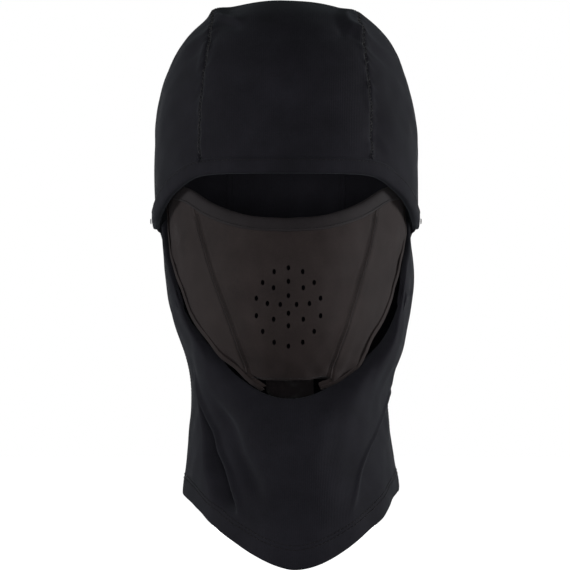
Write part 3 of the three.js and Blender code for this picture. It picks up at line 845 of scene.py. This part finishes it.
def build_bar_tacks():
    """Dense zigzag tacks at the ears."""
    tilt = math.radians(-12)
    along = np.array([0, math.cos(tilt), math.sin(tilt)])
    count = 30
    for side, sign in SIDES:
        low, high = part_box(f"hinge_bartack_{side}")
        middle = (np.array(low) + np.array(high)) / 2 / MM - [0, 0, EAR_HEIGHT / MM]
        line = middle + np.linspace(-4.2, 4.2, count)[:, None] * along - [sign * 0.35, 0, 0]
        n = np.tile([sign, 0.0, 0.0], (count, 1))
        across = np.tile(np.cross(n[0], along), (count, 1))
        strands = zigzag(line, n, across, 0.55, 0.9, 0.25) + [line + across * o for o in (-0.5, 0, 0.5)]
        attach(threads(f"bartack_{side}", strands, 0.24, THREAD), "hood", "thread", f"hinge_bartack_{side}")


def build_nape_seam():
    start = math.pi / 2 + 0.1
    rise = 3.0  # the seam runs this far above the hood's edge
    bearings = np.linspace(start, 2 * math.pi - start, 260)
    path = edge_path(bearings, lambda p: p[..., 2] - HOOD_EDGE(p[..., 1]) - rise, hood_at)
    seam_pieces("nape_seam", path, hood_form, hood_swell, 1.6)


# ---- neck


def seam_bearing(z):
    """Where the neck's side seams run, as a bearing by height."""
    return math.pi / 2 + np.arcsin((NECK_SEAM(z) / NECK_BACK(z)) ** (NECK_POWER / 2))


def hem_height(p, point):
    """Height of the hem over a place, with its lowest point at the middle."""
    x = (p[..., 0] - LEAN(p[..., 2])) / NECK_SIDE(HEM_SIDE)
    out = np.minimum(np.abs(x), 1)
    power, corner = (np.where(x > 0, value[1], value[-1]) for value in (HEM_POWER, HEM_CORNER))
    corner = corner * (1 - np.sqrt(1 - out**4))
    return point + (HEM_SIDE - point) * out**power + corner


def neck_border(bearing, share, error):
    """Heights where a line crosses the neck's form, for columns at these shares of a panel's width."""
    return solve(lambda z: error(neck_at(bearing(share, z), z), z), *NECK_SEARCH)


def neck_grid(bearing, top, bottom, columns, rows):
    """A neck panel's form between two border lines; bearing gives each column's place by share and height."""
    share = np.linspace(-1, 1, columns)

    high, low = neck_border(bearing, share, top), neck_border(bearing, share, bottom)
    t = np.linspace(0, 1, 200)
    z = high[:, None] * (1 - t) + low[:, None] * t
    line = neck_at(bearing(share[:, None], z), z)
    return spread_even(line, rows)


def front_bearing(share, z):
    return share * seam_bearing(z)


def back_bearing(share, z):
    return math.pi - share * (math.pi - seam_bearing(z))


def neck_panel(name, grid, cloth, top_turn, rim):
    """A neck panel whose cloth is doubled where the top edge and the hem are turned in and stitched."""
    def thickness(height):
        t = np.linspace(0, height, grid.shape[1])
        hem = height - HEM_DEPTH
        return FABRIC * (1 + 1.05 * np.maximum(1 - step(top_turn - 1, top_turn + 1, t), step(hem - 1, hem + 1, t)))

    heights = np.linalg.norm(np.diff(grid, axis=1), axis=2).sum(axis=1)
    return sheet(name, cloth, np.stack([thickness(height) for height in heights]), FLEECE, rim)


def build_neck():
    front = neck_grid(front_bearing, lambda p, z: z - COWL_LINE(p[..., 1]), lambda p, z: z - hem_height(p, HEM_FRONT),
                      columns=250, rows=170)
    cloth = dress(neck_form, neck_swell, front)[0] + points(0, tuck_back(front), 0)
    neck_front = neck_panel("neck_front", front, cloth, COWL_TURN, rim=7)
    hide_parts("neck_front_panel", "cowl_panel", "cowl_rolled_edge")
    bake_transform(neck_front)

    back = neck_grid(back_bearing, lambda p, z: z - NECK_TOP(p[..., 1]), lambda p, z: z - hem_height(p, HEM_BACK),
                     columns=170, rows=130)
    neck_back = neck_panel("neck_back", back, dress(neck_form, neck_swell, back)[0], 0, rim=5)
    attach(neck_back, "hood", "fleece", "neck_back_panel")
    for side, sign in SIDES:
        z = np.linspace(-16, -180, 160)
        seam_pieces(f"neck_seam_{side}", neck_at(sign * seam_bearing(z), z), neck_form, neck_swell, 1.5)


def build_hem_stitch():
    share = np.linspace(-1, 1, 300)
    strands = []
    for bearing, point in ((front_bearing, HEM_FRONT), (back_bearing, HEM_BACK)):
        for lift in HEM_ROWS:
            z = neck_border(bearing, share, lambda p, h: h - hem_height(p, point) - lift * 0.92)
            line = resample(neck_at(bearing(share, z), z), 1.0)
            p, n = dress(neck_form, neck_swell, line, 0.08)
            strands += stitch_row(p, n, 2.3, 0.6, 0.18)
    attach(threads("hem_stitches", strands, 0.2, SEAM_THREAD), "hood", "thread", "hem_coverstitch")


# ---- mask


def over_mask(grid, out=0.0):
    return dress(mask_form, mask_swell, grid, out)


def mask_centre_grid(columns, rows):
    """The mask's centre panel, from under its top band to the chin, its lower corners cut off."""
    share = np.linspace(-1, 1, columns)

    def bearing(share, z):
        return np.arcsin(np.clip(share * (MASK_SEAM(z) - 0.25) / MASK_SIDE(z), -1, 1))

    def border(error):
        def at(z):
            return error(mask_at(bearing(share, z), z)[..., 0], z)
        return solve(at, *MASK_SEARCH)

    high = border(lambda x, z: z - MASK_TOP(np.abs(x)) + 5)
    low = border(lambda x, z: z - (MASK_BOTTOM + 0.4 + np.where(x > 0, 1.5, 5) * step(14, 27, np.abs(x))))
    t = np.linspace(0, 1, 160)
    z = high[:, None] * (1 - t) + low[:, None] * t
    return spread_even(mask_at(bearing(share[:, None], z), z), rows)


# The mask's lower edge seen from the front: distance out by height, on the wearer's left (1) and right (-1).
EDGE_OUT = {
    1: smooth([(-115, 19), (-112, 26), (-108, 34), (-102, 42.5), (-92, 49), (-82, 54), (-69.5, 61.3), (-57, 66.2),
               (-44, 70)]),
    -1: smooth([(-115, 18), (-112, 22), (-108, 27), (-102, 33.5), (-92, 44.5), (-82, 52.5), (-69.5, 61.3),
                (-57, 66.2), (-44, 70)]),
}
EDGE_MEETS = -50.0  # above this height the edge is the line seen from the side


def mask_outline(sign, low):
    """Bearings and heights down the mask's outer edge, from the top of the ear tab to a height."""
    tab_z = np.linspace(12.5, -11, 60)
    tab = np.arccos(-MASK_REAR / MASK_FRONT(tab_z))
    y = np.linspace(MASK_REAR, -47, 150)
    side_z = MASK_EDGE(y)
    side = np.arccos(np.clip(-y / MASK_FRONT(side_z), -1, 1))
    front_z = np.linspace(EDGE_MEETS - 4, low, 200)
    front = np.arcsin(np.clip(EDGE_OUT[sign](front_z) / MASK_SIDE(front_z), 0, 1))
    keep = side_z > EDGE_MEETS
    return np.concatenate([tab, side[keep], front]), np.concatenate([tab_z, side_z[keep], front_z])


def mask_side_grid(columns, rows, sign):
    """A side panel in the wearer's left half, from its seam (first column) to its outer edge."""
    corner = MASK_BOTTOM + (2 if sign > 0 else 5.5)
    inner_z = np.linspace(float(MASK_TOP(57)) - 5, corner, 300)
    inner_b = np.arcsin((MASK_SEAM(inner_z) + 0.25) / MASK_SIDE(inner_z))
    outer_b, outer_z = mask_outline(sign, corner - (4 if sign > 0 else 2.5))
    outer_b = outer_b - 0.012

    def even(b, z):
        along = run_length(mask_at(b, z))
        return between(np.linspace(0, along[-1], rows), along, np.stack([b, z], axis=1)).T

    ib, iz = even(inner_b, inner_z)
    ob, oz = even(outer_b, outer_z)
    t = np.linspace(0, 1, columns)[:, None]
    return mask_at(sign * (ib * (1 - t) + ob * t), iz * (1 - t) + oz * t)


HOLE_CENTRE_X = 1.6
HOLE_CENTRE_Z = -61.0
HOLE_HALF_WIDTH, HOLE_HALF_HEIGHT = 1.15, 1.7
HOLE_SIDES = 16
# Rings of holes: how many, the ring's half width and half height, and how far its centre lies above the others'.
HOLE_RINGS = [(14, 21.0, 25.0, 0.0), (8, 13.4, 14.2, 2.2), (4, 5.2, 5.6, 1.6)]


def punch_holes(panel):
    """Cuts the breathing holes right through the centre panel."""
    vertices, faces = [], []
    sides = HOLE_SIDES
    turn = np.linspace(0, 2 * math.pi, sides, endpoint=False)
    for count, half_width, half_height, lift in HOLE_RINGS:
        for i in range(count):
            angle = i / count * 2 * math.pi
            x = half_width * math.sin(angle) + HOLE_CENTRE_X
            z = HOLE_CENTRE_Z + lift + half_height * math.cos(angle)
            start = len(vertices)
            for y in (-140, -80):
                vertices += [(x + HOLE_HALF_WIDTH * math.cos(a), y, z + HOLE_HALF_HEIGHT * math.sin(a)) for a in turn]
            near, far = ([start + end * sides + k for k in range(sides)] for end in (0, 1))
            faces += [[near[k], near[(k + 1) % sides], far[(k + 1) % sides], far[k]] for k in range(sides)]
            faces += [near[::-1], far]
    cutter = make("hole_cutter", vertices, faces)
    cut = panel.modifiers.new("holes", "BOOLEAN")
    cut.operation = "DIFFERENCE"
    cut.solver = "EXACT"
    cut.object = cutter
    bpy.context.view_layer.update()
    evaluated = panel.evaluated_get(bpy.context.evaluated_depsgraph_get())
    holed = bpy.data.meshes.new_from_object(evaluated)
    panel.modifiers.clear()
    panel.data = holed
    bpy.data.objects.remove(cutter)
    holed.set_sharp_from_angle(angle=math.radians(50))


def build_mask():
    centre = sheet("mask_centre", over_mask(mask_centre_grid(columns=110, rows=110))[0], SHELL_FABRIC, SHELL)
    punch_holes(centre)
    attach(centre, "face_mask", "mask_shell", "mask_centre_panel")
    for side, sign in SIDES:
        form = mask_side_grid(60, 120, sign)
        panel = sheet(f"mask_side_{side}", over_mask(form)[0], SHELL_FABRIC, SHELL)
        attach(panel, "face_mask", "mask_shell", f"mask_side_panel_{side}")
        z = np.linspace(-2.5, -101, 200)
        line = mask_at(sign * np.arcsin(MASK_SEAM(z) / MASK_SIDE(z)), z)
        p, n = over_mask(resample(line, 1.0), 0.12)
        across = unit(np.cross(n, unit(np.gradient(p, axis=0))))
        seam = threads(f"mask_seam_{side}_threads", twin_rows(p, n, across, 1.5, 2.0, 0.45, 0.18), 0.2, SEAM_THREAD)
        attach(seam, "face_mask", "thread", f"mask_seam_{side}")


def build_mask_bands():
    end = math.acos(-MASK_REAR / 104)
    base = edge_path(np.linspace(-end, end, 260), lambda p: p[..., 2] - MASK_TOP(np.abs(p[..., 0])), mask_at)
    base = resample(base, 1.3)
    n, down = directions(mask_form, base)
    down = down * -np.sign(down[:, 2:3].mean())
    base = base + n * (0.2 * waves(base, 51, 26))[:, None]
    band = sweep("mask_top_band", band_section(MASK_BAND, SHELL_FABRIC, 0.7, 0.5), base, down, n, SHELL_BAND)
    attach(band, "face_mask", "mask_shell", "mask_top_binding")
    line = base + down * (MASK_BAND - 1.3) + n * 1.45
    stitches = threads("mask_top_band_stitches", stitch_row(line, n, 2.0, 0.5, 0.1), 0.15, SEAM_THREAD)
    attach(stitches, "face_mask", "thread")
    for side, sign in SIDES:
        bearing, z = mask_outline(sign, -114.5)
        base = resample(mask_at(sign * bearing, z), 1.3)[3:]
        n, inward = directions(mask_form, base)
        inward = inward * -sign * np.sign(inward[len(inward) // 2, 0])
        base = base + n * (mask_swell(base) * 0.6 + 0.5 * waves(base, 53, 24) * step(-70, -95, base[:, 2]))[:, None]
        edge = sweep(f"mask_edge_{side}", band_section(EDGE_BAND, SHELL_FABRIC, 0.4, 0.4), base, inward, n, SHELL)
        attach(edge, "face_mask", "mask_shell", f"mask_edge_binding_{side}")


def build_chin():
    """The chin panel, crumpled where the mask tucks under the jaw."""
    share = np.linspace(-1, 1, 110)[:, None]
    z = np.linspace(MASK_BOTTOM + 1.5, CHIN_END - 1, 44)
    half = np.where(share > 0, EDGE_OUT[1](z), EDGE_OUT[-1](z)) - 0.5
    bearing = np.arcsin(np.clip(share * half / MASK_SIDE(z), -1, 1))
    form = mask_at(bearing, np.broadcast_to(z, bearing.shape))
    n = outward(mask_form, form)
    depth = step(MASK_BOTTOM, MASK_BOTTOM - 5, form[..., 2])
    crumple = 1.3 * waves(form * [1, 1, 0.8], 61, 17, 9) + 0.4 * waves(form, 62, 8, 9)
    cloth = form + n * ((crumple - 6.5) * depth - 2.2)[..., None]
    # The chin's near-black cloth is painted shade, standing in for the shadow that falls under the mask.
    chin = sheet("mask_chin", cloth, SHELL_FABRIC, CHIN_PAINTED_SHADE)
    attach(chin, "face_mask", "mask_shell", "mask_chin_panel")
    x = np.linspace(-24, 24, 80)
    line = mask_at(np.arcsin(x / MASK_SIDE(MASK_BOTTOM)), np.full(80, MASK_BOTTOM + 1.6))
    p, out = over_mask(resample(line, 1.0), 0.1)
    seam = threads("mask_chin_seam_threads", stitch_row(p, out, 2.0, 0.5, 0.15), 0.18, THREAD)
    attach(seam, "face_mask", "thread", "mask_chin_seam")


def finish_carried_nodes():
    """The elastics stay as the CAD made them, inside their bands, in woven webbing."""
    for node in ("face_opening_elastic", "mask_top_elastic"):
        obj = frame["nodes"][node]
        if not obj.data.uv_layers:
            obj.data.uv_layers.new(name="weave")
        obj.data.materials.clear()
        obj.data.materials.append(ELASTIC)


# ---- studio


FLOOR_DROP = 0.006
FILL_LIGHT = 0.07
CAMERA_DISTANCE = 10.0
SEEN_WIDTH = 367.65 * MM
SEEN_MIDDLE = (-0.6, -47)  # x and height, about the ear axis
# name, place above the floor (m), width and height (m), power (W)
SOFTBOXES = [
    ("left_softbox", (-1.6, 0.1, 0.16), (0.8, 0.45), 13),
    ("right_softbox", (1.6, 0.3, 0.16), (0.8, 0.45), 19.5),
    ("key_softbox", (1.1, -2.1, 0.2), (1.0, 0.5), 4),
    ("front_softbox", (-0.2, -2.4, 0.12), (1.2, 0.5), 30),
    ("low_softbox", (0.2, -1.5, 0.03), (1.4, 0.2), 3),
    ("back_softbox", (0, 2.2, 0.2), (1.6, 0.5), 12),
]
LIT_HEIGHT = 0.2  # where the softboxes aim, above the floor
# A very weak light inside the hood, which shows the nape behind the eye opening.
GLOW_PLACE, GLOW_SIZE, GLOW_POWER = (0, 0.03, EAR_HEIGHT + 14 * MM), (0.11, 0.012), 0.003


def place_light(name, place, size, power, rotation):
    light = bpy.data.lights.new(name, "AREA")
    light.shape = "RECTANGLE"
    light.size, light.size_y = size
    light.energy = power
    obj = bpy.data.objects.new(name, light)
    obj.visible_camera = False
    bpy.context.scene.collection.objects.link(obj)
    obj.location = place
    obj.rotation_euler = rotation


def build_floor(low):
    mat = bpy.data.materials.new("white_paper")
    mat.use_nodes = True
    set_inputs(mat.node_tree.nodes["Principled BSDF"], {
        "Base Color": (0.8, 0.8, 0.8, 1), "Roughness": 1.0, "Specular IOR Level": 0.0,
        "Emission Color": (1, 1, 1, 1), "Emission Strength": 1.0})
    bpy.ops.mesh.primitive_plane_add(size=14, location=(0, 0, low - FLOOR_DROP))
    floor = bpy.context.object
    floor.name = "floor"
    floor.data.materials.append(mat)
    floor.visible_diffuse = floor.visible_glossy = False


def build_world():
    """White where the camera sees it, and a weak fill light on everything else."""
    world = bpy.data.worlds.new("studio")
    bpy.context.scene.world = world
    world.use_nodes = True
    nodes, links = world.node_tree.nodes, world.node_tree.links
    seen = nodes["Background"]
    set_inputs(seen, {"Color": (1, 1, 1, 1)})
    fill = nodes.new("ShaderNodeBackground")
    set_inputs(fill, {"Color": (0.95, 0.98, 1, 1), "Strength": FILL_LIGHT})
    path = nodes.new("ShaderNodeLightPath")
    mix = nodes.new("ShaderNodeMixShader")
    links.new(path.outputs["Is Camera Ray"], mix.inputs[0])
    links.new(fill.outputs[0], mix.inputs[1])
    links.new(seen.outputs[0], mix.inputs[2])
    links.new(mix.outputs[0], nodes["World Output"].inputs["Surface"])


def build_studio():
    """White paper, soft light from all round, and the camera level with the mask."""
    scene = bpy.context.scene
    scene.view_settings.view_transform = "Standard"
    low = CAD_BOUNDS[0].z
    build_floor(low)
    build_world()
    target = Vector((0, 0, low + LIT_HEIGHT))
    for name, place, size, power in SOFTBOXES:
        place = Vector(place) + Vector((0, 0, low))
        place_light(name, place, size, power, (target - place).to_track_quat("-Z", "Y").to_euler())
    place_light("hood_glow", GLOW_PLACE, GLOW_SIZE, GLOW_POWER, (math.pi / 2, 0, 0))

    camera = bpy.data.cameras.new("camera")
    camera.sensor_width = 36
    camera.lens = camera.sensor_width * CAMERA_DISTANCE / SEEN_WIDTH
    obj = bpy.data.objects.new("camera", camera)
    scene.collection.objects.link(obj)
    obj.location = (SEEN_MIDDLE[0] * MM, -CAMERA_DISTANCE, EAR_HEIGHT + SEEN_MIDDLE[1] * MM)
    obj.rotation_euler = (math.pi / 2, 0, 0)
    scene.camera = obj


build_hood()
build_brow_band()
build_bar_tacks()
build_nape_seam()
build_neck()
build_hem_stitch()
build_mask()
build_mask_bands()
build_chin()
finish_carried_nodes()
build_studio()
